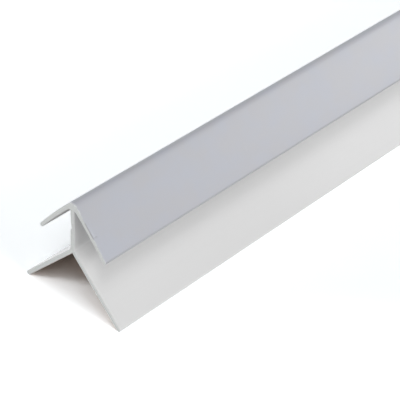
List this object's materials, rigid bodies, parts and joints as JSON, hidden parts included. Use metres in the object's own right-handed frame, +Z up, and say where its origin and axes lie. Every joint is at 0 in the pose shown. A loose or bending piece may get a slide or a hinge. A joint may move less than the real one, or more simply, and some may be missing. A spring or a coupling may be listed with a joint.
{
  "type": "corner guard moulding",
  "caption": "Extruded plastic external-corner moulding: right-angle fixing flange, central web and a bowed cap whose lips hold the edges of wall panels on both sides of the corner.",
  "frame": {"origin": "middle of the floor under the bar, as it lies on the two tips of its flange", "axes": "+Y along the bar, away from the cut end in the picture, +Z up through the ridge of the cap, +X to the right"},
  "size_m": [0.039, 1, 0.0364],
  "materials": {
    "rigid_plastic": "satin silver-grey film on the cap's outer face, bare pale grey plastic elsewhere"
  },
  "bodies": {
    "root": {"corner_moulding": "rigid_plastic"}
  },
  "joints": []
}
